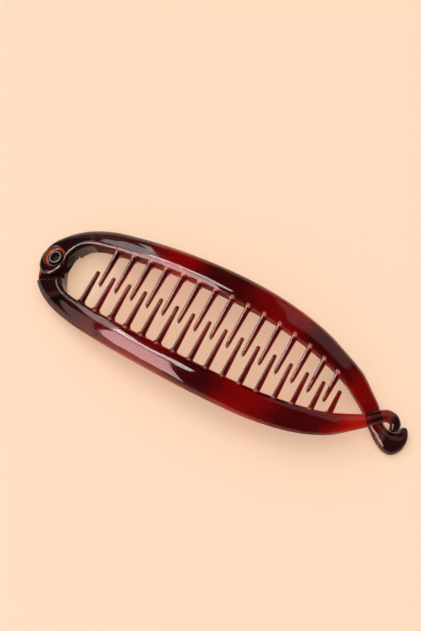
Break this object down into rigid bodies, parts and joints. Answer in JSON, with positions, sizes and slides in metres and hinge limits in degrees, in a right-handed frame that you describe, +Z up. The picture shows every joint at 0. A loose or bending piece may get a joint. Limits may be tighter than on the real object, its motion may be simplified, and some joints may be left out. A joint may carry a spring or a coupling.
{
  "type": "banana hair clip",
  "caption": "Arched banana hair clip: two translucent tortoiseshell comb halves with crossing teeth, riveted at one end and hooked at the other.",
  "frame": {"origin": "middle of the clip's plan, on the surface that it rests on", "axes": "+X from the hinge to the clasp, +Y towards the arm that carries the hinge's upper ear, +Z up out of the arch's crest"},
  "size_m": [0.152, 0.0472, 0.0212],
  "materials": {
    "tortoiseshell_upper": "polished translucent tortoiseshell plastic, near black where thick, crimson patches",
    "tortoiseshell_lower": "polished translucent tortoiseshell plastic, near black where thick, orange-brown edges",
    "rivet_steel": "plain bright steel"
  },
  "bodies": {
    "upper_half": {"upper_comb_half": "tortoiseshell_upper", "hinge_rivet": "rivet_steel"},
    "lower_half": {"lower_comb_half": "tortoiseshell_lower"}
  },
  "joints": [
    {"name": "rivet_hinge", "type": "hinge", "parent": "upper_half", "child": "lower_half", "pos_m": [-0.07039, 0.00031, 0.00857], "axis": [0.348, 0, -0.9375], "range_deg": [0, 115]}
  ]
}
